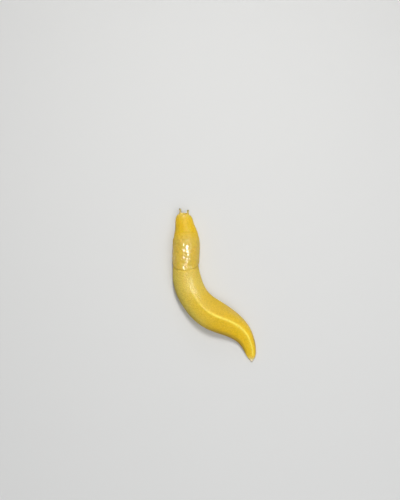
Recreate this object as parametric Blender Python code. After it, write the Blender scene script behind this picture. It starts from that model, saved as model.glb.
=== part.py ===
"""A banana slug resting on its sole, life size, in metres.

+Z is up, the sole lies on Z = 0 and the head points towards -Y, so the slug's right is -X.
The body is one swept form, parted across its length by thin gaps. Every place on it is given by
its distance from the nose along the back and by its angle round the section, where 0 is the
midline of the back and a positive angle is the slug's right.
"""

import math

import bmesh
import bpy
import numpy as np
from mathutils import Matrix, Vector

MM = 0.001
GAP = 0.3 * MM
EYE_GAP = 0.15 * MM

# Where the tip of the nose lies, so that the whole slug is centred over the origin
NOSE = (26.21 * MM, -65.20 * MM)
BODY_LENGTH = 158 * MM

# Landmarks down the back: distance from the nose in mm, heading of the spine in degrees from +Y
# towards -X, half of the body's width in mm, height of the back in mm, and the shift of its crest
# to the slug's right as a share of the half-width
LANDMARKS = {
    "nose": (0, -8, 6.1, 8.2, 0),
    "brow": (6, 3, 7.7, 10.2, 0),
    "nape": (13, 9.5, 8.8, 12.2, 0),
    "mantle_front": (21.5, 4.5, 10.8, 14.8, 0),
    "mantle_middle": (34, -1, 11.5, 17.4, 0),
    "mantle_rear": (49, 0, 11.2, 17.6, 0),
    "shoulder": (62, 11, 12.4, 18.0, 0),
    "back": (83, 35.5, 12.7, 18.4, -0.06),
    "rump": (106, 62.5, 13.3, 17.0, -0.10),
    "tail_root": (124, 54, 10.4, 13.4, 0.13),
    "tail_middle": (141, 25, 6.3, 9.2, 0.36),
    "tail_end": (151, 12, 4.3, 6.2, 0.34),
    "tail_tip": (158, 4.5, 2.4, 3.6, 0.22),
}

# Ends of the body: how far each rounding reaches from the tip
NOSE_ROUND = 4.5 * MM
CHIN_ROUND = 4.6 * MM
TAIL_ROUND = 5 * MM
TAIL_SHELF = 1.2 * MM  # the foot reaches this far past the body, under the tail's pore

# Shape of a section
WIDEST_SHARE = 0.42  # level of the widest place, as a share of the height
SNOUT_LIFT = 0.10  # added to that share at the nose
SNOUT_LENGTH = 13 * MM
FLANK_ANGLE = math.radians(118)  # where the flank tucks in to the groove over the foot
FULLNESS = 0.9  # below 1 fills the section's shoulders
KEEL_START, KEEL_FULL = 56 * MM, 108 * MM
KEEL_SHARPNESS = 0.55  # share of the section that is a roof and not a round

# Foot: a fringed slab under the body
FOOT_HEIGHT = 2.6 * MM
FOOT_TAIL_HEIGHT = 1.5 * MM
FOOT_THINS = 112 * MM
FOOT_START = 2.8 * MM
FOOT_FRONT_ROUND = 4.5 * MM
FRINGE_TOP, FRINGE_WIDEST, FRINGE_SOLE = 0.86, 0.985, 0.93  # shares of the half-width

# Mantle: a shield over the front of the back, lying in a pocket of the trunk
MANTLE_FRONT, MANTLE_REAR = 21.5 * MM, 57.3 * MM
MANTLE_FRONT_SAG, MANTLE_REAR_SAG = 9.0 * MM, 16.8 * MM
MANTLE_SIDE = math.radians(98)
MANTLE_FRONT_ROUNDING, MANTLE_REAR_ROUNDING = 2.0, 1.35  # lower is more pointed
MANTLE_PROUD, MANTLE_DEPTH = 0.75 * MM, 1.7 * MM
HEM_PROUD, HEM_DEPTH = 0.4 * MM, 0.3 * MM

# Cuts across the body and across the foot, as distances from the nose
BODY_CUTS = {
    "head": (0, 11),
    "neck": (11, 18),
    "trunk_front": (18, 60),
    "trunk_middle": (60, 83),
    "trunk_rear": (83, 108),
    "tail_root": (108, 134),
    "tail_tip": (134, 158),
}
FOOT_CUTS = {
    "foot_front": (2.8, 43),
    "foot_middle": (43, 82),
    "foot_rear": (82, 121),
    "foot_tail": (121, 158),
}

# Fineness of the faceted solids
RING_STEP = 2.5 * MM
ROUND_RINGS = 6
RING_POINTS = 34
FRINGE_POINTS = 6

COLOURS = {  # linear red, green, blue, then roughness
    "head_skin": ((0.74, 0.47, 0.035), 0.32),
    "mantle_skin": ((0.68, 0.45, 0.065), 0.28),
    "back_skin": ((0.70, 0.48, 0.070), 0.35),
    "tail_skin": ((0.76, 0.48, 0.030), 0.35),
    "foot_skin": ((0.66, 0.48, 0.12), 0.40),
    "feeler_skin": ((0.58, 0.44, 0.14), 0.35),
    "eye_black": ((0.012, 0.010, 0.009), 0.15),
}


def clear_scene():
    for obj in list(bpy.data.objects):
        bpy.data.objects.remove(obj)


def material(name):
    """The named finish, made once."""
    if name in bpy.data.materials:
        return bpy.data.materials[name]
    colour, roughness = COLOURS[name]
    made = bpy.data.materials.new(name)
    made.use_nodes = True
    shader = made.node_tree.nodes["Principled BSDF"]
    shader.inputs["Base Color"].default_value = (*colour, 1)
    shader.inputs["Roughness"].default_value = roughness
    shader.inputs["Metallic"].default_value = 0
    made.diffuse_color = (*colour, 1)
    return made


def through_landmarks(distance, column):
    """A smooth curve through one column of LANDMARKS."""
    rows = np.array(list(LANDMARKS.values()), float)
    at, values = rows[:, 0] * MM, rows[:, column]
    slopes = np.gradient(values, at)
    distance = np.clip(distance, at[0], at[-1])
    i = np.clip(np.searchsorted(at, distance) - 1, 0, len(at) - 2)
    span = at[i + 1] - at[i]
    u = (distance - at[i]) / span
    return (
        values[i] * (1 + 2 * u) * (1 - u) ** 2
        + slopes[i] * span * u * (1 - u) ** 2
        + values[i + 1] * u * u * (3 - 2 * u)
        - slopes[i + 1] * span * u * u * (1 - u)
    )


def ramp(value, start, full):
    """0 up to start, 1 from full, and a smooth rise between."""
    u = np.clip((value - start) / (full - start), 0, 1)
    return u * u * (3 - 2 * u)


def end_round(from_tip, reach):
    """A quarter of an ellipse: 0 at a tip, 1 from reach onwards."""
    return math.sqrt(max(0.0, 1 - (1 - min(from_tip / reach, 1)) ** 2))


def spine_table():
    """Distances down the spine, its places in plan, and its headings, at a fine step."""
    distances = np.linspace(0, BODY_LENGTH, 621)
    headings = np.radians(through_landmarks(distances, 1))
    step = distances[1]
    middles = (headings[1:] + headings[:-1]) / 2
    x = NOSE[0] - np.concatenate([[0], np.cumsum(np.sin(middles))]) * step
    y = NOSE[1] + np.concatenate([[0], np.cumsum(np.cos(middles))]) * step
    return distances, x, y, headings


SPINE = spine_table()


def spine(distance):
    """The place on the floor under the spine, and the unit vector to the slug's right."""
    distances, xs, ys, headings = SPINE
    heading = np.interp(distance, distances, headings)
    place = Vector((np.interp(distance, distances, xs), np.interp(distance, distances, ys), 0))
    return place, Vector((-math.cos(heading), -math.sin(heading), 0))


def groove_level(distance):
    """Height of the groove between the body and the foot."""
    thinning = ramp(distance, FOOT_THINS, BODY_LENGTH)
    return FOOT_HEIGHT + (FOOT_TAIL_HEIGHT - FOOT_HEIGHT) * thinning


def body_point(distance, angle, proud=0.0):
    """A point of the body's surface, moved out of it by about proud."""
    height = through_landmarks(distance, 3) * MM
    middle = (WIDEST_SHARE + SNOUT_LIFT * (1 - ramp(distance, 0, SNOUT_LENGTH))) * height
    body_end = BODY_LENGTH - TAIL_SHELF
    closing = end_round(distance, NOSE_ROUND) * end_round(body_end - distance, TAIL_ROUND)
    half_width = through_landmarks(distance, 2) * MM * closing + proud
    if abs(angle) < math.pi / 2:
        keel = KEEL_SHARPNESS * ramp(distance, KEEL_START, KEEL_FULL)
        arch = (1 - keel) * math.cos(angle) + keel * (1 - abs(angle) / (math.pi / 2))
        rise = ((height - middle) * closing + proud) * arch
    else:
        chin = end_round(distance, CHIN_ROUND) * end_round(body_end - distance, TAIL_ROUND)
        depth = (middle - groove_level(distance)) * chin / -math.cos(flank_angle(distance))
        rise = (depth + proud) * math.cos(angle)
    sideways = math.copysign(abs(math.sin(angle)) ** FULLNESS, angle)
    lean = through_landmarks(distance, 4) * max(0.0, math.cos(angle))
    place, right = spine(distance)
    return place + right * half_width * (sideways + lean) + Vector((0, 0, middle + rise))


def flank_angle(distance):
    """The flank's last angle. The head's section closes under the chin as the foot ends."""
    return math.pi + (FLANK_ANGLE - math.pi) * end_round(distance, NOSE_ROUND)


def body_section(distance):
    """The body's outline across the spine, open along the groove plane over the foot."""
    last = flank_angle(distance)
    return [body_point(distance, a) for a in np.linspace(-last, last, RING_POINTS)]


def foot_section(distance):
    """The foot's outline across the spine: a fringe at each side and a flat sole between."""
    place, right = spine(distance)
    top = groove_level(distance) - GAP
    tail = end_round(BODY_LENGTH - distance, TAIL_ROUND + TAIL_SHELF)
    half_width = through_landmarks(distance, 2) * MM * tail
    half_width *= end_round(distance - FOOT_START, FOOT_FRONT_ROUND)
    side = []
    for down in np.linspace(0, 1, FRINGE_POINTS):
        ends = FRINGE_TOP + (FRINGE_SOLE - FRINGE_TOP) * down
        swell = (FRINGE_WIDEST - max(FRINGE_TOP, FRINGE_SOLE)) * math.sin(math.pi * down)
        side.append((half_width * (ends + swell), top * (1 - down)))
    across = [(x, z) for x, z in side] + [(-x, z) for x, z in reversed(side)]
    return [place + right * x + Vector((0, 0, z)) for x, z in across]


def ring_distances(start, end, opens, closes):
    """Distances of the rings between two cuts, closer together where an end rounds off."""
    first = start + opens if opens else start + GAP / 2
    last = end - closes if closes else end - GAP / 2
    turns = np.arange(1, ROUND_RINGS) * math.pi / 2 / ROUND_RINGS
    steps = max(1, round((last - first) / RING_STEP))
    found = list(np.linspace(first, last, steps + 1))
    if opens:
        found = [start + opens * (1 - math.cos(turn)) for turn in turns] + found
    if closes:
        found += [end - closes * (1 - math.cos(turn)) for turn in reversed(turns)]
    return found


def loft(name, rings, finish, first_tip=None, last_tip=None):
    """A closed solid through rings of points, each end either a flat cap or a fan to a tip."""
    mesh = bmesh.new()
    rows = [[mesh.verts.new(p) for p in ring] for ring in rings]
    for row, following in zip(rows, rows[1:]):
        for i in range(len(row)):
            j = (i + 1) % len(row)
            mesh.faces.new((row[i], row[j], following[j], following[i]))
    for row, tip in ((rows[0], first_tip), (rows[-1], last_tip)):
        if tip is None:
            mesh.faces.new(row)
            continue
        point = mesh.verts.new(tip)
        for i in range(len(row)):
            mesh.faces.new((row[i], row[(i + 1) % len(row)], point))
    return finished(name, mesh, finish)


def finished(name, mesh, finish):
    """The mesh as an object with its faces pointing out and its round sides smooth."""
    bmesh.ops.recalc_face_normals(mesh, faces=mesh.faces)
    bmesh.ops.triangulate(mesh, faces=mesh.faces, quad_method="BEAUTY", ngon_method="BEAUTY")
    data = bpy.data.meshes.new(name)
    mesh.to_mesh(data)
    mesh.free()
    data.shade_smooth()
    data.set_sharp_from_angle(angle=math.radians(40))
    made = bpy.data.objects.new(name, data)
    bpy.context.scene.collection.objects.link(made)
    data.materials.append(material(finish))
    return made


def body_length(name, finish):
    """One length of the body between two cuts."""
    start, end = (cut * MM for cut in BODY_CUTS[name])
    opens = NOSE_ROUND if start == 0 else 0
    closes = 0
    if end == BODY_LENGTH:
        end -= TAIL_SHELF
        closes = TAIL_ROUND
    rings = [body_section(d) for d in ring_distances(start, end, opens, closes)]
    first_tip = body_point(0, 0) if opens else None
    last_tip = body_point(end, 0) if closes else None
    return loft(name, rings, finish, first_tip, last_tip)


def foot_length(name):
    """One length of the foot between two cuts."""
    start, end = (cut * MM for cut in FOOT_CUTS[name])
    opens = FOOT_FRONT_ROUND if start == FOOT_START else 0
    closes = TAIL_ROUND + TAIL_SHELF if end == BODY_LENGTH else 0
    distances = ring_distances(start, end, opens, closes)
    return loft(name, [foot_section(d) for d in distances], "foot_skin")


def sag(share, rounding):
    """How far a hem has drawn in at a share of its side angle: 0 on the midline, 1 at its end."""
    return 1 - math.sqrt(max(0.0, 1 - abs(share) ** rounding))


def mantle_shell(name, grow=0.0, lift=0.0):
    """The mantle as a shell that thins to its hem. grow widens it all round but over it, and lift
    raises its outside, which makes the cutter of its pocket."""
    across, along = 24, 16
    outer, inner = [], []
    for u in np.linspace(-1, 1, across + 1):
        front = MANTLE_FRONT + MANTLE_FRONT_SAG * sag(u, MANTLE_FRONT_ROUNDING) - grow
        rear = MANTLE_REAR - MANTLE_REAR_SAG * sag(u, MANTLE_REAR_ROUNDING) + grow
        outer_row, inner_row = [], []
        for v in np.linspace(-1, 1, along + 1):
            distance = (front + rear) / 2 + (rear - front) / 2 * math.sin(v * math.pi / 2)
            half_width = through_landmarks(distance, 2) * MM
            angle = u * (MANTLE_SIDE + grow / half_width)
            plump = math.sqrt(max(0.0, 1 - max(abs(u), abs(v)) ** 4))
            proud = HEM_PROUD + (MANTLE_PROUD - HEM_PROUD) * plump + lift
            depth = HEM_DEPTH + (MANTLE_DEPTH - HEM_DEPTH) * plump + grow
            outer_row.append(body_point(distance, angle, proud))
            inner_row.append(body_point(distance, angle, -depth))
        outer.append(outer_row)
        inner.append(inner_row)
    mesh = bmesh.new()
    sheets = [[[mesh.verts.new(p) for p in row] for row in sheet] for sheet in (outer, inner)]
    for rows in sheets:
        for row, following in zip(rows, rows[1:]):
            for i in range(along):
                mesh.faces.new((row[i], row[i + 1], following[i + 1], following[i]))
    rims = [hem_of(rows) for rows in sheets]
    for i in range(len(rims[0])):
        j = (i + 1) % len(rims[0])
        mesh.faces.new((rims[0][i], rims[0][j], rims[1][j], rims[1][i]))
    return finished(name, mesh, "mantle_skin")


def hem_of(rows):
    """The border of a grid of vertices, once round."""
    left = rows[0]
    right = rows[-1]
    rear = [row[-1] for row in rows[1:-1]]
    front = [row[0] for row in rows[1:-1]]
    return left + rear + right[::-1] + front[::-1]


def ball(name, place, turn, radii, finish="eye_black", segments=16, rings=10):
    """An ellipsoid with its three radii along the axes of turn."""
    mesh = bmesh.new()
    bmesh.ops.create_uvsphere(mesh, u_segments=segments, v_segments=rings, radius=1)
    size = Matrix.Diagonal((*radii, 1))
    bmesh.ops.transform(
        mesh, matrix=Matrix.Translation(place) @ turn.to_4x4() @ size, verts=mesh.verts
    )
    return finished(name, mesh, finish)


def hide_helper(obj):
    obj.hide_render = True
    obj.display_type = "WIRE"


def cut(obj, cutter):
    """Cuts the cutter's shape out of obj."""
    modifier = obj.modifiers.new("cut_" + cutter.name, "BOOLEAN")
    modifier.operation = "DIFFERENCE"
    modifier.object = cutter
    hide_helper(cutter)


def fuse(obj, helpers):
    """Joins helper solids to obj for good, and removes them."""
    group = bpy.data.collections.new(obj.name + "_pieces")
    bpy.context.scene.collection.children.link(group)
    for helper in helpers:
        group.objects.link(helper)
        bpy.context.scene.collection.objects.unlink(helper)
    modifier = obj.modifiers.new("fuse", "BOOLEAN")
    modifier.operation = "UNION"
    modifier.operand_type = "COLLECTION"
    modifier.collection = group
    graph = bpy.context.evaluated_depsgraph_get()
    data = bpy.data.meshes.new_from_object(obj.evaluated_get(graph))
    obj.modifiers.clear()
    obj.data = data
    for helper in helpers:
        bpy.data.objects.remove(helper)
    bpy.data.collections.remove(group)


def surface_frame(distance, angle):
    """Axes on the skin at a place: right round the body, back along it, and out of it."""
    step = 0.2 * MM
    place = body_point(distance, angle)
    back = (body_point(distance + step, angle) - body_point(distance - step, angle)).normalized()
    right = (body_point(distance, angle + 0.02) - body_point(distance, angle - 0.02)).normalized()
    out = right.cross(back).normalized()
    if out.dot(place - body_point(distance, angle, -1 * MM)) < 0:
        out = -out
    back = (back - out * back.dot(out)).normalized()
    return place, Matrix((out.cross(back), back, out)).transposed()


# Feelers, drawn in to stubs: distance from the nose, angle round the section, both for the root;
# then turn outwards from the spine and rise above level, in degrees; length out of the skin, and
# radii at the root, the waist and the tip, in mm
FEELERS = {
    "upper_tentacle_left": (1.8, -33, -6, 22, 4.8, (1.15, 0.9, 1.05)),
    "upper_tentacle_right": (1.8, 33, 16, 20, 4.0, (1.15, 0.9, 1.05)),
    "lower_tentacle_left": (1.2, -122, 22, -12, 1.9, (0.72, 0.6, 0.68)),
    "lower_tentacle_right": (1.2, 122, 22, -12, 1.9, (0.72, 0.6, 0.68)),
}
FEELER_ROOT = 0.9 * MM  # how deep a feeler is set in the head
FEELER_POINTS = 14
EYE_RADIUS = 0.42 * MM
EYE_RISE = 50  # degrees from the feeler's axis up to the eye


def feeler_axis(name):
    """Where a feeler leaves the skin, and the unit vector along it."""
    distance, angle, outward, rise, _, _ = FEELERS[name]
    place = body_point(distance * MM, math.radians(angle))
    side = math.copysign(1, angle)
    heading = math.radians(LANDMARKS["brow"][1]) - side * math.radians(outward)
    level = math.cos(math.radians(rise))
    ahead = Vector((math.sin(heading) * level, -math.cos(heading) * level, 0))
    return place, (ahead + Vector((0, 0, math.sin(math.radians(rise))))).normalized()


def feeler(name, finish="feeler_skin", grow=0.0, suffix=""):
    """A feeler as a turned tube with a round tip. grow makes it the cutter of its socket."""
    place, axis = feeler_axis(name)
    length, radii = FEELERS[name][4] * MM, [r * MM for r in FEELERS[name][5]]
    stations = [-FEELER_ROOT - grow, 0, length * 0.5, length - radii[2]]
    widths = [radii[0], radii[0], radii[1], radii[2]]
    for turn in (30, 55, 75):
        stations.append(length - radii[2] * (1 - math.sin(math.radians(turn))))
        widths.append(radii[2] * math.cos(math.radians(turn)))
    side = axis.cross(Vector((0, 0, 1))).normalized()
    up = side.cross(axis)
    rings = []
    for along, width in zip(stations, widths):
        ring = []
        for turn in np.arange(FEELER_POINTS) * 2 * math.pi / FEELER_POINTS:
            out = side * math.cos(turn) + up * math.sin(turn)
            ring.append(place + axis * along + out * (width + grow))
        rings.append(ring)
    return loft(name + suffix, rings, finish, last_tip=place + axis * (length + grow))


def eye_place(name):
    """The middle of the eye near a feeler's tip."""
    place, axis = feeler_axis(name)
    length, tip = FEELERS[name][4] * MM, FEELERS[name][5][2] * MM
    side = axis.cross(Vector((0, 0, 1))).normalized()
    up = side.cross(axis)
    rise = math.radians(EYE_RISE)
    middle = place + axis * (length - tip)
    return middle + (axis * math.cos(rise) + up * math.sin(rise)) * (tip - EYE_RADIUS * 0.35)


def add_feelers(head):
    """Sets the feelers in sockets of the head, and the eyes in sockets of the upper pair."""
    for name in FEELERS:
        made = feeler(name)
        cut(head, feeler(name, grow=GAP, suffix="_socket"))
        if not name.startswith("upper"):
            continue
        eye = name.replace("upper_tentacle", "eye")
        still = Matrix.Identity(3)
        ball(eye, eye_place(name), still, [EYE_RADIUS] * 3, segments=12, rings=8)
        socket = ball(
            eye + "_socket", eye_place(name), still, [EYE_RADIUS + EYE_GAP] * 3,
            segments=12, rings=8,
        )
        cut(made, socket)


# Mouth: a lobe at each side of it, as place across from the midline, distance from the nose and
# level, then radii across, along and up, all in mm, and the arched slit between and over the lobes
LIP_LOBE = ((1.5, 1.8, 3.42), (1.85, 1.5, 0.84))
MOUTH = ((0, 0.33, 3.86), (2.05, 1.0, 0.2))
MOUTH_CLEFT = ((0, 0.37, 3.2), (0.25, 1.03, 0.62))


def head_ball(name, sizes, side=1):
    """An ellipsoid of the head, level and square to the spine at its nose."""
    (across, distance, level), radii = sizes
    place, right = spine(distance * MM)
    up = Vector((0, 0, 1))
    turn = Matrix((right, up.cross(right), up)).transposed()
    middle = place + right * side * across * MM + up * level * MM
    return ball(name, middle, turn, [r * MM for r in radii], "head_skin", segments=20, rings=12)


def add_mouth(head):
    """The two lobes beside the mouth, its slit under them and the cleft between them."""
    fuse(head, [head_ball(f"lobe{side}", LIP_LOBE, side) for side in (-1, 1)])
    cut(head, head_ball("mouth_slit", MOUTH))
    cut(head, head_ball("mouth_cleft", MOUTH_CLEFT))


# Breathing pore in the mantle's right side, and the pore over the end of the tail: distance and
# angle, then radii in mm across, along and out of the skin
BREATHING_PORE = (42.0, 78, (0.95, 1.7, 2.4))
TAIL_PORE = (154.6, 0, (0.6, 0.95, 0.9))


def pore_cutter(name, sizes):
    distance, angle, radii = sizes
    place, turn = surface_frame(distance * MM, math.radians(angle))
    return ball(name, place, turn, [r * MM for r in radii])


def build():
    clear_scene()
    lengths = {}
    for name in BODY_CUTS:
        finish = {"head": "head_skin", "neck": "head_skin"}.get(name, "back_skin")
        lengths[name] = body_length(name, "tail_skin" if "tail" in name else finish)
    for name in FOOT_CUTS:
        foot_length(name)
    mantle = mantle_shell("mantle")
    cut(lengths["trunk_front"], mantle_shell("mantle_pocket", GAP, 3 * MM))
    breathing = pore_cutter("breathing_pore", BREATHING_PORE)
    cut(mantle, breathing)
    cut(lengths["trunk_front"], breathing)
    cut(lengths["tail_tip"], pore_cutter("tail_pore", TAIL_PORE))
    add_mouth(lengths["head"])
    add_feelers(lengths["head"])


build()
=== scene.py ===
"""Looks for the banana slug: one wet, wrinkled skin over the solids of its flesh, and its eyes.

The skin is built in millimetres from the same landmarks as the solids, fused into one surface,
wrinkled, and brought to metres at the end. A place on it is told by its distance from the nose
along the back and by its angle round the section: 0 on the midline of the back, positive on the
slug's right.
"""

import math

import bpy
import numpy as np
from mathutils import Matrix, Vector


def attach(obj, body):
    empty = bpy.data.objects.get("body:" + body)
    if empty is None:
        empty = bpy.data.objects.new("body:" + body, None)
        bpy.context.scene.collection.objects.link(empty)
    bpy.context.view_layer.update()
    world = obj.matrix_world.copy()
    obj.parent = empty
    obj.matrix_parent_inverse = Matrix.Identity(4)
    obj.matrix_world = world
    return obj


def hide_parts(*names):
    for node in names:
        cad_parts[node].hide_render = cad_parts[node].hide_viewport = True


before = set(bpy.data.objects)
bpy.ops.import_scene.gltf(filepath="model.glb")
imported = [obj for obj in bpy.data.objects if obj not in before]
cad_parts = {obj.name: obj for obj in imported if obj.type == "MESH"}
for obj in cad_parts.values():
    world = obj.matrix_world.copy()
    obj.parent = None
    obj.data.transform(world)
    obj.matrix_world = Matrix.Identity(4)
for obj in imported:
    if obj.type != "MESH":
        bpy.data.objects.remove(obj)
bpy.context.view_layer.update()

MM = 0.001

# The named sizes of the solids, in mm and degrees
NOSE = (26.21, -65.20)
BODY_LENGTH = 158.0
SPINE_STEPS = 621
LANDMARKS = {  # distance from the nose, heading from +Y towards -X, half-width, height, crest's shift
    "nose": (0, -8, 6.1, 8.2, 0),
    "brow": (6, 3, 7.7, 10.2, 0),
    "nape": (13, 9.5, 8.8, 12.2, 0),
    "mantle_front": (21.5, 4.5, 10.8, 14.8, 0),
    "mantle_middle": (34, -1, 11.5, 17.4, 0),
    "mantle_rear": (49, 0, 11.2, 17.6, 0),
    "shoulder": (62, 11, 12.4, 18.0, 0),
    "back": (83, 35.5, 12.7, 18.4, -0.06),
    "rump": (106, 62.5, 13.3, 17.0, -0.10),
    "tail_root": (124, 54, 10.4, 13.4, 0.13),
    "tail_middle": (141, 25, 6.3, 9.2, 0.36),
    "tail_end": (151, 12, 4.3, 6.2, 0.34),
    "tail_tip": (158, 4.5, 2.4, 3.6, 0.22),
}
HEADING, HALF_WIDTH, HEIGHT, CREST_SHIFT = 1, 2, 3, 4  # columns of LANDMARKS
NOSE_ROUND, CHIN_ROUND, TAIL_ROUND, TAIL_SHELF = 4.5, 4.6, 5.0, 1.2
WIDEST_SHARE, SNOUT_LIFT, SNOUT_LENGTH = 0.42, 0.10, 13.0
FLANK_ANGLE = math.radians(118)
FULLNESS = 0.9
KEEL_START, KEEL_FULL, KEEL_SHARPNESS = 56.0, 108.0, 0.55
FOOT_HEIGHT, FOOT_TAIL_HEIGHT, FOOT_THINS = 2.6, 1.5, 112.0
FOOT_START, FOOT_FRONT_ROUND = 2.8, 4.5
FRINGE_TOP, FRINGE_WIDEST, FRINGE_SOLE = 0.86, 0.985, 0.93
MANTLE_FRONT, MANTLE_REAR = 21.5, 57.3
MANTLE_FRONT_SAG, MANTLE_REAR_SAG = 9.0, 16.8
MANTLE_SIDE = math.radians(98)
MANTLE_FRONT_ROUNDING, MANTLE_REAR_ROUNDING = 2.0, 1.35
MANTLE_PROUD, HEM_PROUD = 0.75, 0.4
HEM_LOW, HEM_LOW_ENDS = 0.4, (0.25, 0.7)  # share of the hem's height left on the midline, and where
MANTLE_INSET = 0.9  # depth of the mantle's underside in the body
MANTLE_PLUMPNESS = 4
FOOT_OVERLAP = 0.7  # the foot's middle reaches this far up into the body, so that they fuse
FOOT_OVERLAP_INSET, FOOT_OVERLAP_ROUND = 0.14, 2.5
FEELERS = {  # distance, angle, turn outwards, rise, length, radii at root, waist and tip
    "upper_tentacle_left": (1.8, -33, -6, 22, 4.8, (1.15, 0.9, 1.05)),
    "upper_tentacle_right": (1.8, 33, 16, 20, 4.0, (1.15, 0.9, 1.05)),
    "lower_tentacle_left": (1.2, -122, 22, -12, 1.9, (0.72, 0.6, 0.68)),
    "lower_tentacle_right": (1.2, 122, 22, -12, 1.9, (0.72, 0.6, 0.68)),
}
FEELER_ROOT, FEELER_WAIST = 0.9, 0.5  # depth in the head, and the waist's share of the length
EYE_RADIUS, EYE_RISE, EYE_SUNK = 0.42, 50, 0.35
# Across from the midline, distance from the nose and level, then radii across, along and up
LIP_LOBE = ((1.5, 1.8, 3.42), (1.85, 1.5, 0.84))
MOUTH = ((0, 0.33, 3.86), (2.05, 1.0, 0.2))
MOUTH_CLEFT = ((0, 0.37, 3.2), (0.25, 1.03, 0.62))
MOUTH_CARVING = ((MOUTH, 0.95, (1, 1.7)), (MOUTH_CLEFT, 0.5, (1.5, 1)))  # depth, widened by
SLIT_EDGE, SLIT_END = (0.25, 1.2), 1.0
# Distance from the nose, angle and height over the body, then half-length, half-width and depth
BREATHING_PORE = ((42.0, 78, 0.6), (1.8, 0.9, 1.5))
TAIL_PORE = ((154.6, 0, 0), (1.0, 0.5, 0.42))
PORE_EDGE, PORE_REACH = (0.35, 1.0), 3.0
PORE_LIP, PORE_LIP_AT, PORE_LIP_WIDTH = 0.22, 1.15, 0.22

# How a point's place on the slug is looked up, and how far off a feeler's axis is still the feeler
LOOKUP_SKIP, LOOKUP_CHUNK, LOOKUP_STEPS, LOOKUP_WEIGHT = 4, 40000, 4, 0.8
FEELER_REACH, FEELER_BLEND = 1.5, (0.25, 1.25)
OPEN_END = 0.05  # kept off the two ends, where the section closes

# How finely the shells are made
VOXEL = 0.2
RING_STEP, ROUND_STEPS = 0.6, 24
BODY_AROUND, FOOT_SIDE_STEPS, MANTLE_CELLS = 120, 9, (110, 80)
FEELER_RINGS, SMALL_AROUND = 24, 28
FEELER_DOME = [15, 30, 45, 60, 72, 82]  # degrees from a feeler's widest place to its end
BALL_RINGS, BALL_OPENING = 18, 0.08

# Fineness and depth of the skin's relief, in mm
HEIGHT_SHARE = 0.55  # with the half-width, gives the mean radius of the section
WARP_SIZE, WARP = 5.0, 1.2
FURROW_LENGTH, FURROW_WIDTH, FURROW_DEPTH = 2.4, 0.95, 0.19
FURROW_SLANT, FURROW_WARP = 0.9, 0.5
FINER, FINER_SHARE = 1.9, 0.35  # a second set of furrows among the first
PEBBLE, PEBBLE_DEPTH, PEBBLE_WARP = 0.65, 0.05, 0.4
GRAIN, GRAIN_DEPTH, GRAIN_WARP = 1.3, 0.085, 0.3
GRAIN_SHARE, COARSE_SHARE = 0.6, 0.55
COARSE_LONG, COARSE_WIDE = 2.3, 2.0  # coarser grain, in sizes of the fine one
FOLD_LONG, FOLD_WIDE, FOLD_DEPTH = 2.0, 5.5, 0.078
PAD, SMALL_PAD, SMALL_PAD_SHARE, PAD_DEPTH = 4.2, 2.1, 0.55, 0.30
DIMPLE, DIMPLE_DEPTH = 1.8, 0.13
SPARK, SPARK_DEPTH = 1.1, 0.05
SPARK_AT, SPARK_SIDES = (48, 7), (0.5, 1.1)
FRINGE_STEP, FRINGE_DEPTH, FRINGE_LEVEL, FRINGE_WARP = 1.15, 0.09, 0.3, 0.35
SWELL, SWELL_SHARE, SMALL_SWELL, SMALL_SWELL_SHARE = 11.0, 0.6, 5.0, 0.4
SWELL_DEPTH, SWELL_LEVELS = 0.16, (2.0, 6.0)
CREST_WIDTH, CREST_RISE = 0.065, 0.22
HEAD_FURROWS, HEAD_FURROW_WIDTH, HEAD_FURROW_DEPTH = (-0.32, 0.32), 0.05, 0.14
NECK_FOLDS, NECK_FOLD_WIDTH, NECK_FOLD_DEPTH = 1.55, 0.35, 0.10
NECK_WARP_SIZE, NECK_WARP = 4.0, 1.2
FEELER_SMOOTHNESS = 0.75
FEELER_RING_AXIS, FEELER_RING_STEP, FEELER_RING_DEPTH = (0.3, 1.0, 0.2), 0.55, 0.03
TILE_SCATTER = 0.85  # how far the middles of tiles stray, in shares of a tile
# Share of a tile that its slopes take, and its mean height
FURROW_TILE, PEBBLE_TILE, GRAIN_TILE, COARSE_TILE = (0.32, 0.75), (0.4, 0.7), (0.45, 0.7), (0.5, 0.7)
SEED = {
    "warp": 3, "furrows": 11, "finer": 23, "pebbles": 31, "grain": 47, "coarse": 53, "folds": 5, "pads": 13,
    "small pads": 17, "dimples": 20, "sparks": 29, "swell": 1, "small swell": 2, "neck": 9,
}

# Where the parts of the skin begin and end: a start and where the change is complete
MANTLE_EDGE, MANTLE_RADIUS = (-0.1, 0.9), 12
HEM_AT, HEM_WIDTH, REAR_START = -0.35, 0.95, (36, 48)
FOOT_EDGE, FOOT_FRONT_EDGE, SOLE_EDGE = (-0.5, 0.4), (-0.5, 1), (0.25, 0.9)
HEAD_END = (15, 24)
CREST_START, CREST_END = (66, 88), (146, 154)
HEAD_FURROW_START, HEAD_FURROW_END = (3, 7), (19, 23)
NECK_START, NECK_END = (9, 13), (20, 24)
# Where the furrows are shallower, and by what share
CREST_CALM, CREST_CALM_WIDTH, CREST_CALM_START = 0.8, 0.16, (76, 92)
TAIL_CALM, TAIL_CALM_START = 0.4, (112, 140)
SHOULDER_CALM, SHOULDER_CALM_SPOT = 0.45, (72, 10, 0.5)
FRONT_CALM = (0.6, 3.0)
# How the skin is smoothed
MIDDLE_LEVEL = 6  # about halfway up the body
FIRST_SMOOTHING, LAST_SMOOTHING, SOFT_STEPS = 3, 0.35, 4
FEELER_SMOOTHING, FEELER_SMOOTHING_WEIGHT, FEELER_SMOOTHING_REACH = 10, 0.6, (0.3, 1.3)

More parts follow.
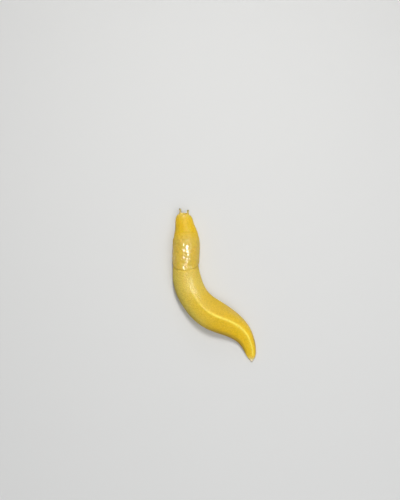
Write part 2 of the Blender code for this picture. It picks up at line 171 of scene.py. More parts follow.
# Where tones lie: over which shares of the half-width, and where along the back they come and go
OLIVE_PATCH = (0.15, 0.95), (46, 62), (92, 112)
RIM_PATCH = (0.3, 0.9), (98, 120), (148, 156)
LEFT_SHADE = (0.68, 1.0), (90, 120), (147, 153)
SHOULDER_SHADE, SHOULDER_SHADE_SHARE = ((0.72, 1.0), (58, 66), (90, 120)), 0.3
TAIL_SHADE, TAIL_SHADE_SHARE = ((0.22, 0.75), (130, 142), (150, 155)), 0.42
MANTLE_TONE_START, FOOT_TONE_END = (20, 31), (152, 156)
# The keel's crest is painted paler: partly the keel's own paler line, partly a painted highlight, with a
# wider painted highlight towards the tail
CREST_FAINT, CREST_CLEAR, CREST_TONE_AND_HIGHLIGHT_END = 0.3, (92, 108), (152, 157)
KEEL_PAINTED_HIGHLIGHT, KEEL_PAINTED_HIGHLIGHT_WIDTH, KEEL_PAINTED_HIGHLIGHT_START = 0.32, 0.2, (112, 132)
# Painted shade in the skin's hollows, in the carved pores and mouth, and along the mantle's rear hem,
# fainter on the hem's midline and along the mantle's front edge
CREASE_HOLLOW, CREASE_PITS = (0.012, 0.085), (0.25, 0.85)
HEM_FAINT, HEM_CLEAR = 0.03, (0.36, 0.78)
HEM_MIDDLE_FADE, HEM_MIDDLE, FRONT_HEM_FADE = 0.85, (0.25, 0.8), 0.85
# Wetness, 0..1, and where it lies: the distance, its reach along the back and its reach round it
WET_LEAST, WET_START = 0.07, (27, 38)
GLAZE_LEAST, GLAZE_AT, GLAZE_SIDE_LOSS, GLAZE_SIDES = 0.42, (40, 8), 0.55, (0.62, 0.98)
NOSE_WET, NOSE_SPOT = 0.85, (5.0, 2.2, 0.42)
SHOULDER_WET, SHOULDER_SPOT = 0.50, (77, 7, 0.45)
CREST_WET = 0.34


# Shape of the body, the same as the solids'

def through_landmarks(distance, column):
    """A smooth curve through one column of LANDMARKS."""
    rows = np.array(list(LANDMARKS.values()), float)
    at, values = rows[:, 0], rows[:, column]
    slopes = np.gradient(values, at)
    distance = np.clip(distance, at[0], at[-1])
    i = np.clip(np.searchsorted(at, distance) - 1, 0, len(at) - 2)
    span = at[i + 1] - at[i]
    u = (distance - at[i]) / span
    return (
        values[i] * (1 + 2 * u) * (1 - u) ** 2
        + slopes[i] * span * u * (1 - u) ** 2
        + values[i + 1] * u * u * (3 - 2 * u)
        - slopes[i + 1] * span * u * u * (1 - u)
    )


def ramp(value, start, full):
    """0 up to start, 1 from full, and a smooth rise between."""
    u = np.clip((value - start) / (full - start), 0, 1)
    return u * u * (3 - 2 * u)


def bell(value, middle, width):
    """1 in the middle, and less and less to both sides of it."""
    return np.exp(-((value - middle) / width) ** 2)


def spot(distance, angle, at, long, wide):
    """A soft spot on the midline of the back."""
    return bell(distance, at, long) * bell(angle, 0, wide)


def band(value, start, end):
    """0 up to the start, 1 past it, and 0 again past the end."""
    return ramp(value, *start) * (1 - ramp(value, *end))


def end_round(from_tip, reach):
    """A quarter of an ellipse: 0 at a tip, 1 from reach onwards."""
    return np.sqrt(np.maximum(0, 1 - (1 - np.clip(from_tip / reach, 0, 1)) ** 2))


def spine_table():
    """Fine steps along the back: the distance, the place on the floor and the heading."""
    distances = np.linspace(0, BODY_LENGTH, SPINE_STEPS)
    headings = np.radians(through_landmarks(distances, HEADING))
    step = distances[1]
    middles = (headings[1:] + headings[:-1]) / 2
    x = NOSE[0] - np.concatenate([[0], np.cumsum(np.sin(middles))]) * step
    y = NOSE[1] + np.concatenate([[0], np.cumsum(np.cos(middles))]) * step
    return distances, x, y, headings


SPINE = spine_table()


def spine(distance):
    """Places on the floor under the spine, and unit vectors to the tail and to the right."""
    distances, xs, ys, headings = SPINE
    h = np.interp(distance, distances, headings)
    flat = np.zeros_like(h)
    place = np.stack([np.interp(distance, distances, xs), np.interp(distance, distances, ys), flat], -1)
    back = np.stack([-np.sin(h), np.cos(h), flat], -1)
    right = np.stack([-np.cos(h), -np.sin(h), flat], -1)
    return place, back, right


def groove_level(distance):
    thinning = ramp(distance, FOOT_THINS, BODY_LENGTH)
    return FOOT_HEIGHT + (FOOT_TAIL_HEIGHT - FOOT_HEIGHT) * thinning


def flank_angle(distance):
    return math.pi + (FLANK_ANGLE - math.pi) * end_round(distance, NOSE_ROUND)


def section_sizes(distance):
    """Half-width, level of the widest place, rise over it and depth under it, and the lean."""
    height = through_landmarks(distance, HEIGHT)
    middle = (WIDEST_SHARE + SNOUT_LIFT * (1 - ramp(distance, 0, SNOUT_LENGTH))) * height
    tail = end_round(BODY_LENGTH - TAIL_SHELF - distance, TAIL_ROUND)
    closing = end_round(distance, NOSE_ROUND) * tail
    chin = end_round(distance, CHIN_ROUND) * tail
    half_width = through_landmarks(distance, HALF_WIDTH) * closing
    depth = (middle - groove_level(distance)) * chin / -np.cos(flank_angle(distance))
    lean = through_landmarks(distance, CREST_SHIFT)
    return half_width, middle, (height - middle) * closing, depth, lean


def body_point(distance, angle, proud=0.0):
    """Points of the body's surface, moved out of it by about proud."""
    distance, angle, proud = np.broadcast_arrays(
        np.asarray(distance, float), np.asarray(angle, float), np.asarray(proud, float)
    )
    half_width, middle, rise, depth, lean = section_sizes(distance)
    keel = KEEL_SHARPNESS * ramp(distance, KEEL_START, KEEL_FULL)
    arch = (1 - keel) * np.cos(angle) + keel * (1 - np.abs(angle) / (math.pi / 2))
    over = np.abs(angle) < math.pi / 2
    up = np.where(over, (rise + proud) * arch, (depth + proud) * np.cos(angle))
    sideways = np.sign(angle) * np.abs(np.sin(angle)) ** FULLNESS + lean * np.maximum(0, np.cos(angle))
    place, _, right = spine(distance)
    out = place + right * ((half_width + proud) * sideways)[..., None]
    out[..., 2] = middle + up
    return out


def mantle_edges(share):
    """Where the mantle begins and ends along the back, at a share of its side angle."""
    share = np.minimum(1, np.abs(share))
    front = MANTLE_FRONT_SAG * (1 - np.sqrt(1 - share ** MANTLE_FRONT_ROUNDING))
    rear = MANTLE_REAR_SAG * (1 - np.sqrt(1 - share ** MANTLE_REAR_ROUNDING))
    return MANTLE_FRONT + front, MANTLE_REAR - rear


def feeler_axis(name):
    """Where a feeler leaves the skin, and the unit vector along it."""
    distance, angle, outward, rise, _, _ = FEELERS[name]
    heading = math.radians(LANDMARKS["brow"][1] - math.copysign(outward, angle))
    level = math.cos(math.radians(rise))
    axis = Vector((math.sin(heading) * level, -math.cos(heading) * level, math.sin(math.radians(rise))))
    return Vector(body_point(distance, math.radians(angle))), axis


def eye_place(name):
    """The middle of the eye on an upper feeler: above its end, and sunk a little into it."""
    place, axis = feeler_axis(name)
    length, tip = FEELERS[name][4], FEELERS[name][5][2]
    side = axis.cross(Vector((0, 0, 1))).normalized()
    rise = math.radians(EYE_RISE)
    out = axis * math.cos(rise) + side.cross(axis) * math.sin(rise)
    return place + axis * (length - tip) + out * (tip - EYE_RADIUS * EYE_SUNK)


def skin_frame(distance, angle):
    """A place on the skin and its axes: across, back and out, as rows."""
    place = body_point(distance, angle)
    back = body_point(distance + 0.2, angle) - body_point(distance - 0.2, angle)
    right = body_point(distance, angle + 0.02) - body_point(distance, angle - 0.02)
    back, right = back / np.linalg.norm(back), right / np.linalg.norm(right)
    out = np.cross(right, back)
    out /= np.linalg.norm(out)
    if out @ (place - body_point(distance, angle, -1)) < 0:
        out = -out
    back = back - out * (back @ out)
    back /= np.linalg.norm(back)
    return place, np.array([np.cross(out, back), back, out])


def head_frame(sizes, side=1):
    """A place in the head, and level axes: right, back and up, as rows."""
    across, distance, level = sizes[0]
    place, back, right = spine(np.array(distance))
    return place + right * side * across + np.array([0, 0, level]), np.array([right, back, [0, 0, 1]])


# The pieces that are fused into the skin

class Shells:
    """Closed shells that may overlap, gathered into one mesh."""

    def __init__(self):
        self.points, self.faces, self.count = [], [], 0

    def add(self, points, faces):
        self.points.append(points.reshape(-1, 3))
        self.faces += [tuple(int(i) + self.count for i in face) for face in faces]
        self.count += len(self.points[-1])

    def tube(self, rings):
        """A tube through an array of rings, with a fan at each end."""
        rows, around, _ = rings.shape
        i, j = np.meshgrid(np.arange(rows - 1), np.arange(around), indexing="ij")
        k = (j + 1) % around
        quads = np.stack([i * around + j, i * around + k, (i + 1) * around + k, (i + 1) * around + j], -1)
        tips = np.stack([rings[0].mean(0), rings[-1].mean(0)])
        total = rows * around
        fans = [(total, (n + 1) % around, n) for n in range(around)]
        last = (rows - 1) * around
        fans += [(total + 1, last + n, last + (n + 1) % around) for n in range(around)]
        self.add(np.concatenate([rings.reshape(-1, 3), tips]), list(quads.reshape(-1, 4)) + fans)

    def mesh(self, name):
        data = bpy.data.meshes.new(name)
        data.from_pydata(np.concatenate(self.points).tolist(), [], self.faces)
        data.validate()
        obj = bpy.data.objects.new(name, data)
        bpy.context.scene.collection.objects.link(obj)
        return obj


def fine_distances(start, end, opens, closes):
    """Places of the rings, closer together towards the two rounded ends."""
    first, last = start + opens, end - closes
    turns = np.arange(1, ROUND_STEPS) * math.pi / 2 / ROUND_STEPS
    return np.concatenate([
        start + opens * (1 - np.cos(turns)),
        np.linspace(first, last, int((last - first) / RING_STEP)),
        end - closes * (1 - np.cos(turns[::-1])),
    ])


def body_rings():
    distances = fine_distances(0, BODY_LENGTH - TAIL_SHELF, NOSE_ROUND, TAIL_ROUND)
    angles = np.linspace(-1, 1, BODY_AROUND)[None, :] * flank_angle(distances)[:, None]
    return body_point(distances[:, None], angles)


def foot_rings():
    distances = fine_distances(FOOT_START, BODY_LENGTH, FOOT_FRONT_ROUND, TAIL_ROUND + TAIL_SHELF)
    place, _, right = spine(distances)
    half_width = through_landmarks(distances, HALF_WIDTH)
    half_width = half_width * end_round(distances - FOOT_START, FOOT_FRONT_ROUND)
    half_width *= end_round(BODY_LENGTH - distances, TAIL_ROUND + TAIL_SHELF)
    top = groove_level(distances)
    side = []
    for down in np.linspace(0, 1, FOOT_SIDE_STEPS):
        ends = FRINGE_TOP + (FRINGE_SOLE - FRINGE_TOP) * down
        swell = (FRINGE_WIDEST - max(FRINGE_TOP, FRINGE_SOLE)) * math.sin(math.pi * down)
        side.append((ends + swell, top * (1 - down)))
    overlap = FOOT_OVERLAP * end_round(distances - FOOT_START, FOOT_OVERLAP_ROUND)
    side.insert(0, (FRINGE_TOP - FOOT_OVERLAP_INSET, top + overlap))
    ring = []
    for x, z in side + [(-x, z) for x, z in reversed(side)]:
        point = place + right * (half_width * x)[:, None]
        point[:, 2] = z
        ring.append(point)
    return np.stack(ring, 1)


def mantle_shell(shells):
    """A lens of skin that lies on the back and stands proud of it up to its hem."""
    across, along = MANTLE_CELLS
    u = np.linspace(-1, 1, across + 1)[:, None]
    v = np.linspace(-1, 1, along + 1)[None, :]
    front, rear = mantle_edges(u)
    distance = (front + rear) / 2 + (rear - front) / 2 * np.sin(v * math.pi / 2)
    plump = np.sqrt(np.maximum(0, 1 - np.maximum(np.abs(u), np.abs(v)) ** MANTLE_PLUMPNESS))
    hem = HEM_PROUD * (HEM_LOW + (1 - HEM_LOW) * ramp(np.abs(u), *HEM_LOW_ENDS))
    outer = body_point(distance, u * MANTLE_SIDE, hem + (MANTLE_PROUD - hem) * plump)
    inner = body_point(distance, u * MANTLE_SIDE, -MANTLE_INSET)
    rows, cols = across + 1, along + 1
    total = rows * cols
    index = np.arange(total).reshape(rows, cols)
    quads = np.stack([index[:-1, :-1], index[:-1, 1:], index[1:, 1:], index[1:, :-1]], -1).reshape(-1, 4)
    rim = np.concatenate([index[0], index[1:, -1], index[-1, -2::-1], index[-2:0:-1, 0]])
    after = np.roll(rim, -1)
    edge = np.stack([rim, after, after + total, rim + total], -1)
    faces = list(quads[:, ::-1]) + list(quads + total) + list(edge)
    shells.add(np.concatenate([outer.reshape(-1, 3), inner.reshape(-1, 3)]), faces)


def feeler_rings(name):
    place, axis = feeler_axis(name)
    length, (root, waist, tip) = FEELERS[name][4:]
    dome = np.radians(FEELER_DOME)
    stem = np.linspace(-FEELER_ROOT, length - tip, FEELER_RINGS)
    along = np.concatenate([stem, length - tip + tip * np.sin(dome)])
    bends = [-FEELER_ROOT, 0, length * FEELER_WAIST, length - tip]
    width = np.concatenate([np.interp(stem, bends, [root, root, waist, tip]), tip * np.cos(dome)])
    side = axis.cross(Vector((0, 0, 1))).normalized()
    up = side.cross(axis)
    turns = np.linspace(0, 2 * math.pi, SMALL_AROUND, endpoint=False)
    out = np.cos(turns)[:, None] * np.array(side) + np.sin(turns)[:, None] * np.array(up)
    return np.array(place) + along[:, None, None] * np.array(axis) + width[:, None, None] * out[None]


def ellipsoid_rings(place, axes, radii):
    polar = np.linspace(BALL_OPENING, math.pi - BALL_OPENING, BALL_RINGS)
    turns = np.linspace(0, 2 * math.pi, SMALL_AROUND, endpoint=False)
    local = np.stack([
        np.sin(polar)[:, None] * np.cos(turns)[None] * radii[0],
        np.sin(polar)[:, None] * np.sin(turns)[None] * radii[1],
        np.cos(polar)[:, None] * np.ones_like(turns)[None] * radii[2],
    ], -1)
    return place + local @ axes


def fused_flesh():
    """All the shells as one surface of even quads, in mm: its points and its faces."""
    shells = Shells()
    shells.tube(body_rings())
    shells.tube(foot_rings())
    mantle_shell(shells)
    for name in FEELERS:
        shells.tube(feeler_rings(name))
    for side in (-1, 1):
        place, axes = head_frame(LIP_LOBE, side)
        shells.tube(ellipsoid_rings(place, axes, LIP_LOBE[1]))
    flesh = shells.mesh("flesh_shells")
    remesh = flesh.modifiers.new("fuse", "REMESH")
    remesh.mode = "VOXEL"
    remesh.voxel_size = VOXEL
    graph = bpy.context.evaluated_depsgraph_get()
    data = bpy.data.meshes.new_from_object(flesh.evaluated_get(graph))
    bpy.data.objects.remove(flesh)
    points = np.empty(len(data.vertices) * 3)
    data.vertices.foreach_get("co", points)
    quads = np.empty(len(data.polygons) * 4, int)
    data.loops.foreach_get("vertex_index", quads)
    return points.reshape(-1, 3), quads.reshape(-1, 4), data


class Surface:
    """Points and quads, with what smoothing and wrinkling need."""

    def __init__(self, points, quads):
        self.points, self.quads = points, quads
        ends = np.concatenate([quads[:, [k, (k + 1) % 4]] for k in range(4)])
        ends = np.sort(ends, axis=1)
        keys = np.unique(ends[:, 0].astype(np.int64) * len(points) + ends[:, 1])
        self.a, self.b = keys // len(points), keys % len(points)
        self.degree = self.spread(np.ones(len(keys)), np.ones(len(keys)))

    def spread(self, to_a, to_b):
        n = len(self.points)
        return np.bincount(self.a, to_a, n) + np.bincount(self.b, to_b, n)

    def averaged(self, values):
        return self.spread(values[self.b], values[self.a]) / self.degree

    def averaged_points(self, points):
        return np.stack([self.averaged(points[:, k]) for k in range(3)], -1)

    def smooth(self, steps, weight=0.5):
        for _ in range(steps):
            mean = self.averaged_points(self.points)
            self.points += (mean - self.points) * np.asarray(weight)[..., None]

    def normals(self):
        p = self.points[self.quads]
        face = np.cross(p[:, 2] - p[:, 0], p[:, 3] - p[:, 1])
        total = np.zeros_like(self.points)
        for k in range(3):
            total[:, k] = np.bincount(
                self.quads.ravel(), np.repeat(face[:, k], 4), len(self.points)
            )
        return total / np.linalg.norm(total, axis=1, keepdims=True)


# Where a point of the skin lies on the slug

def skin_places(points):
    """For each point: distance from the nose, angle, and place across in shares of the half-width."""
    distances, xs, ys, _ = SPINE
    coarse = slice(None, None, LOOKUP_SKIP)
    line = np.stack([xs[coarse], ys[coarse]], -1)
    found = np.empty(len(points))
    for start in range(0, len(points), LOOKUP_CHUNK):
        part = points[start:start + LOOKUP_CHUNK, :2]
        gap = (part ** 2).sum(1)[:, None] - 2 * part @ line.T + (line ** 2).sum(1)[None]
        found[start:start + LOOKUP_CHUNK] = distances[coarse][gap.argmin(1)]
    for _ in range(LOOKUP_STEPS):
        place, back, _ = spine(found)
        found = np.clip(found + ((points - place) * back).sum(1) * LOOKUP_WEIGHT, 0, BODY_LENGTH)
    place, _, right = spine(found)
    inner = np.clip(found, OPEN_END, BODY_LENGTH - TAIL_SHELF - OPEN_END)
    half_width, middle, rise, _, lean = section_sizes(inner)
    side = ((points - place) * right).sum(1) / half_width
    up = points[:, 2] - middle
    up = np.where(up > 0, up / rise, up / middle)
    side = side - lean * np.clip(up, 0, 1)
    side = np.sign(side) * np.abs(side) ** (1 / FULLNESS)
    return found, np.arctan2(side, up), side


def feeler_shares(points):
    """For each point: 0 on the head to 1 on a feeler, which feeler, its share along it and its turn."""
    most = np.zeros(len(points))
    which = np.full(len(points), -1)
    along_best, turn_best = np.zeros(len(points)), np.zeros(len(points))
    start, full = FEELER_BLEND
    for k, name in enumerate(FEELERS):
        place, axis = feeler_axis(name)
        length, radii = FEELERS[name][4:]
        away = points - np.array(place)
        along = away @ np.array(axis)
        side = np.array(axis.cross(Vector((0, 0, 1))).normalized())
        up = np.cross(side, np.array(axis))
        x, y = away @ side, away @ up
        near = np.hypot(x, y) < max(radii) * FEELER_REACH
        share = np.where(near, np.clip((along - start) / (full - start), 0, 1), 0)
        better = share > most
        most = np.where(better, share, most)
        which = np.where(better, k, which)
        along_best = np.where(better, along / length, along_best)
        turn_best = np.where(better, np.arctan2(y, x), turn_best)
    return most, which, along_best, turn_best


# Noise

def hashed(i, j, k):
    """Repeatable scatter in 0..1 for whole-number cells."""
    n = (i.astype(np.int64) * 73856093) ^ (j.astype(np.int64) * 19349663)
    n = n ^ (k.astype(np.int64) * 83492791)
    n = (n ^ (n >> 13)) * 1274126177 & 0xFFFFFFFF
    n = (n ^ (n >> 16)) * 2246822519 & 0xFFFFFFFF
    return (n ^ (n >> 15)) % 100003 / 100003.0


def waves(points, scale, seed):
    """Smooth noise from -1 to 1, with lumps of about the given size."""
    p = points / scale
    base = np.floor(p).astype(np.int64)
    t = p - base
    t = t * t * (3 - 2 * t)
    total = np.zeros(len(p))
    for dx in (0, 1):
        for dy in (0, 1):
            for dz in (0, 1):
                share = (t[:, 0] if dx else 1 - t[:, 0]) * (t[:, 1] if dy else 1 - t[:, 1])
                share = share * (t[:, 2] if dz else 1 - t[:, 2])
                total += share * hashed(base[:, 0] + dx, base[:, 1] + dy, base[:, 2] + dz + SEED[seed] * 101)
    return total * 2 - 1


def tiles(u, v, seed, slope, level):
    """Height of rounded tiles with furrows at their borders, over their mean level."""
    iu, iv = np.floor(u).astype(np.int64), np.floor(v).astype(np.int64)
    first, second = np.full(len(u), 9.0), np.full(len(u), 9.0)
    for du in (-1, 0, 1):
        for dv in (-1, 0, 1):
            cu, cv = iu + du, iv + dv
            k = np.full_like(cu, SEED[seed])
            x = cu + 0.5 + TILE_SCATTER * (hashed(cu, cv, k) - 0.5) - u
            y = cv + 0.5 + TILE_SCATTER * (hashed(cu, cv, k + 7) - 0.5) - v
            far = np.hypot(x, y)
            second = np.where(far < first, first, np.minimum(second, far))
            first = np.minimum(first, far)
    return ramp(second - first, 0, slope) - level


# Relief

def relief(points, distance, angle, feeler):
    """Height of the skin's relief in mm, and masks that the colours use."""
    tallness = through_landmarks(distance, HEIGHT) * HEIGHT_SHARE
    around = angle * (through_landmarks(distance, HALF_WIDTH) + tallness) / 2
    share = angle / MANTLE_SIDE
    front, rear = mantle_edges(share)
    inside = np.minimum(distance - front, rear - distance)
    inside = np.minimum(inside, (1 - np.abs(share)) * MANTLE_SIDE * MANTLE_RADIUS)
    mantle = ramp(inside, *MANTLE_EDGE)
    foot = 1 - ramp(points[:, 2] - groove_level(distance), *FOOT_EDGE)
    foot *= ramp(distance - FOOT_START, *FOOT_FRONT_EDGE)
    sole = 1 - ramp(points[:, 2], *SOLE_EDGE)
    body = (1 - mantle) * (1 - foot) * (1 - feeler)
    head = 1 - ramp(distance, *HEAD_END)

    warp = waves(points, WARP_SIZE, "warp") * WARP
    lean = (distance + FURROW_SLANT * np.abs(around) + warp) / FURROW_LENGTH
    across = (around + FURROW_WARP * warp) / FURROW_WIDTH
    furrows = tiles(lean, across, "furrows", *FURROW_TILE)
    furrows += FINER_SHARE * tiles(lean * FINER, across * FINER, "finer", *FURROW_TILE)
    pebbles = tiles((distance + PEBBLE_WARP * warp) / PEBBLE, around / PEBBLE, "pebbles", *PEBBLE_TILE)
    crest = bell(angle, 0, CREST_WIDTH) * ramp(distance, *CREST_START)
    calm = 1 - CREST_CALM * bell(angle, 0, CREST_CALM_WIDTH) * ramp(distance, *CREST_CALM_START)
    calm *= 1 - TAIL_CALM * ramp(distance, *TAIL_CALM_START)
    calm *= 1 - SHOULDER_CALM * spot(distance, angle, *SHOULDER_CALM_SPOT)
    calm *= ramp(np.abs(distance - front), *FRONT_CALM)
    height = body * ((1 - head) * FURROW_DEPTH * calm * furrows + head * PEBBLE_DEPTH * pebbles)
    height += CREST_RISE * crest * (1 - ramp(distance, *CREST_END))

    grain = tiles((distance + GRAIN_WARP * warp) / GRAIN, around / GRAIN, "grain", *GRAIN_TILE)
    long, wide = GRAIN * COARSE_LONG, GRAIN * COARSE_WIDE
    coarse = tiles((distance + warp) / long, around / wide, "coarse", *COARSE_TILE)
    folded = np.stack([(distance + warp) / FOLD_LONG, around / FOLD_WIDE, 0 * distance], -1)
    pads = waves(points, PAD, "pads") + SMALL_PAD_SHARE * waves(points, SMALL_PAD, "small pads")
    sparks = bell(distance, *SPARK_AT) * (1 - ramp(np.abs(angle), *SPARK_SIDES))
    height += mantle * (
        GRAIN_DEPTH * (GRAIN_SHARE * grain + COARSE_SHARE * coarse)
        + FOLD_DEPTH * waves(folded, 1.0, "folds")
        + PAD_DEPTH * pads
        + DIMPLE_DEPTH * waves(points, DIMPLE, "dimples")
        + SPARK_DEPTH * sparks * waves(points, SPARK, "sparks")
    )

    fringe = np.sin(2 * math.pi * (distance + FRINGE_WARP * warp) / FRINGE_STEP)
    height += foot * (1 - sole) * FRINGE_DEPTH * (fringe - FRINGE_LEVEL)
    swell = SWELL_SHARE * waves(points, SWELL, "swell")
    swell += SMALL_SWELL_SHARE * waves(points, SMALL_SWELL, "small swell")
    height += SWELL_DEPTH * swell * (1 - foot) * (1 - feeler) * ramp(points[:, 2], *SWELL_LEVELS)

    for turn in HEAD_FURROWS:  # the pair of furrows from the feelers back to the mantle
        furrow = bell(angle, turn, HEAD_FURROW_WIDTH) * band(distance, HEAD_FURROW_START, HEAD_FURROW_END)
        height -= HEAD_FURROW_DEPTH * furrow * (1 - mantle)
    folds = np.sin(distance * NECK_FOLDS + NECK_WARP * waves(points, NECK_WARP_SIZE, "neck"))
    neck = bell(folds, 0, NECK_FOLD_WIDTH) * band(distance, NECK_START, NECK_END)
    height -= NECK_FOLD_DEPTH * neck * body
    height = height * (1 - FEELER_SMOOTHNESS * feeler)
    rings = np.sin(points @ np.array(FEELER_RING_AXIS) * 2 * math.pi / FEELER_RING_STEP)
    height += FEELER_RING_DEPTH * feeler * rings
    height *= 1 - sole
    return height, {
        "mantle": mantle, "foot": foot, "sole": sole, "crest": crest * (1 - feeler),
        "hem": bell(inside, HEM_AT, HEM_WIDTH), "rear": ramp(distance, *REAR_START),
    }


def carve(surface, normals):
    """Pores and the mouth: moves points in along their normals, and returns by how much."""
    depth = np.zeros(len(normals))
    for (at, turn, proud), (long, wide, deep) in (BREATHING_PORE, TAIL_PORE):
        place = body_point(at, math.radians(turn), proud)
        _, axes = skin_frame(at, math.radians(turn))
        local = (surface.points - place) @ axes.T / np.array([wide, long, PORE_REACH])
        far = np.linalg.norm(local, axis=1)
        depth = np.maximum(depth, deep * (1 - ramp(far, *PORE_EDGE)))
        depth -= PORE_LIP * bell(far, PORE_LIP_AT, PORE_LIP_WIDTH)
    for sizes, deep, widened in MOUTH_CARVING:
        place, axes = head_frame(sizes)
        local = (surface.points - place) @ axes.T
        across, along, level = sizes[1]
        far = np.hypot(local[:, 0] / (across * widened[0]), local[:, 2] / (level * widened[1]))
        slit = (1 - ramp(far, *SLIT_EDGE)) * (1 - ramp(local[:, 1], along, along + SLIT_END))
        depth += deep * slit
    surface.points -= normals * depth[:, None]
    return depth


# Materials

def new_material(name):
    """A material, its node tree and its shader."""
    made = bpy.data.materials.new(name)
    made.use_nodes = True
    return made, made.node_tree, made.node_tree.nodes["Principled BSDF"]


def feed(tree, socket, value):
    """Links a socket into another, or sets a plain value on it."""
    if isinstance(value, bpy.types.NodeSocket):
        tree.links.new(value, socket)
    else:
        socket.default_value = value


def node(tree, kind, settings=None, **inputs):
    made = tree.nodes.new(kind)
    for key, value in (settings or {}).items():
        setattr(made, key, value)
    for key, value in inputs.items():
        feed(tree, made.inputs[key.replace("_", " ")], value)
    return made


def attribute(tree, name):
    return node(tree, "ShaderNodeAttribute", {"attribute_name": name}).outputs["Fac"]


def blend(tree, factor, a, b):
    """a where factor is 0 and b where it is 1, as colours."""
    made = node(tree, "ShaderNodeMix", {"data_type": "RGBA"})
    for socket, value in zip((made.inputs[0], made.inputs[6], made.inputs[7]), (factor, a, b)):
        feed(tree, socket, value)
    return made.outputs[2]


def mapped(tree, value, low, high, to_low=0.0, to_high=1.0):
    made = node(tree, "ShaderNodeMapRange", {"interpolation_type": "SMOOTHSTEP"}, Value=value)
    for key, number in zip(("From Min", "From Max", "To Min", "To Max"), (low, high, to_low, to_high)):
        made.inputs[key].default_value = number
    return made.outputs["Result"]


def times(tree, a, b, operation="MULTIPLY"):
    made = node(tree, "ShaderNodeMath", {"operation": operation})
    for socket, value in zip(made.inputs, (a, b)):
        feed(tree, socket, value)
    return made.outputs[0]


ALONG_TONES = (  # share of the length from nose to tail, and the skin's colour there
    (0.00, (0.74, 0.56, 0.110)),
    (0.018, (0.76, 0.54, 0.070)),
    (0.045, (0.80, 0.51, 0.014)),
    (0.09, (0.79, 0.50, 0.006)),
    (0.17, (0.75, 0.49, 0.014)),
    (0.36, (0.72, 0.52, 0.080)),
    (0.45, (0.74, 0.56, 0.095)),
    (0.56, (0.76, 0.51, 0.036)),
    (0.68, (0.77, 0.49, 0.020)),
    (0.82, (0.84, 0.53, 0.014)),
    (0.974, (0.87, 0.57, 0.022)),
    (0.988, (0.87, 0.65, 0.15)),
    (0.998, (0.87, 0.80, 0.60)),
)
MANTLE_TONE = (0.66, 0.455, 0.060, 1)
OLIVE_TONE = (0.62, 0.51, 0.095, 1)
TAN_TONE = (0.66, 0.47, 0.15, 1)
# The keel's paler line: partly its own colour, partly a painted highlight
KEEL_TONE_AND_HIGHLIGHT = (1.0, 0.83, 0.13, 1)
SOLE_TONE = (0.66, 0.50, 0.17, 1)
FEELER_TONE = (0.52, 0.45, 0.22, 1)
# Painted shade for hollows, pits and the mantle's hem
CREASE_SHADE_TONE = (0.42, 0.25, 0.012, 1)
SPECK_TONE = (0.40, 0.27, 0.03, 1)
MOTTLE_TONE = (0.42, 0.30, 0.03, 1)
PALE_TONE = (0.93, 0.70, 0.09, 1)
SHADE_TONE = (0.34, 0.21, 0.025, 1)


CLOUD_TONE = (0.86, 0.60, 0.08, 1)

# How strongly each tone shows where its mask is full, and where a noise brings it in: the noise's
# values from and to, and the strengths there
KEEL_TONE_AND_HIGHLIGHT_STRENGTH, RIM_STRENGTH, FEELER_STRENGTH, SHADE_STRENGTH, CREASE_SHADE_STRENGTH = 0.9, 0.6, 0.8, 0.75, 0.62
OLIVE_CLOUDS = (0.3, 0.7, 0.75, 1.0)
CLOUDS = (0.35, 0.75, 0.0, 0.22)
MOTTLES, PALE_MOTTLES = (0.52, 0.34, 0.0, 0.20), (0.50, 0.68, 0.0, 0.22)
SPECKS, SPECK_CLOUDS = (0.14, 0.26, 0.34, 0.0), (0.4, 0.62)
ALONG_SHIFT = 0.05  # how far the clouds shift the tones along the body
ROUGHNESS, WET_ROUGHNESS, WET_CLOUDS = (0.3, 0.7, 0.42, 0.58), 0.2, (0.3, 0.7, 0.8, 1.0)
NOISES = {  # scale, detail and roughness
    "cloud": (130.0, 4.0, 0.6),
    "fine": (900.0, 4.0, 0.65),
    "mottle": (620.0, 3.0, 0.6),
    "eye": (2600.0, 2.0, 0.5),
}
DOT_SCALE, GRAIN_SCALE = 760.0, 2400.0
BUMP_FINE, BUMP_GRAIN = 0.6, -0.5
BUMP, COAT_BUMP = (0.35, 0.00012), (0.1, 0.00008)  # strength and height in metres
SKIN_GLOSS = {
    "Subsurface Weight": 0.22, "Subsurface Radius": (1.0, 0.5, 0.1), "Subsurface Scale": 0.003,
    "Coat Roughness": 0.07, "Coat IOR": 1.45, "IOR": 1.34, "Specular IOR Level": 0.25,
}
EYE_GLOSS = {"Roughness": 0.12, "Coat Weight": 1.0, "Coat Roughness": 0.05}
EYE_TONES, EYE_CLOUDS = ((0.010, 0.009, 0.008, 1), (0.035, 0.026, 0.016, 1)), (0.35, 0.7)
FLOOR_FINISH = {"Base Color": (0.68, 0.68, 0.67, 1), "Roughness": 0.9}


def finish(shader, values):
    for key, value in values.items():
        shader.inputs[key].default_value = value


def noise(tree, place, name):
    scale, detail, roughness = NOISES[name]
    made = node(tree, "ShaderNodeTexNoise", Vector=place, Scale=scale, Detail=detail, Roughness=roughness)
    return made.outputs["Fac"]


def tones_along(tree, along):
    """The skin's ground colour, by the share of the length."""
    made = node(tree, "ShaderNodeValToRGB", Fac=along)
    stops = made.color_ramp.elements
    for index, (at, colour) in enumerate(ALONG_TONES):
        stop = stops[index] if index < 2 else stops.new(at)
        stop.position = at
        stop.color = (*colour, 1)
    return made.outputs["Color"]


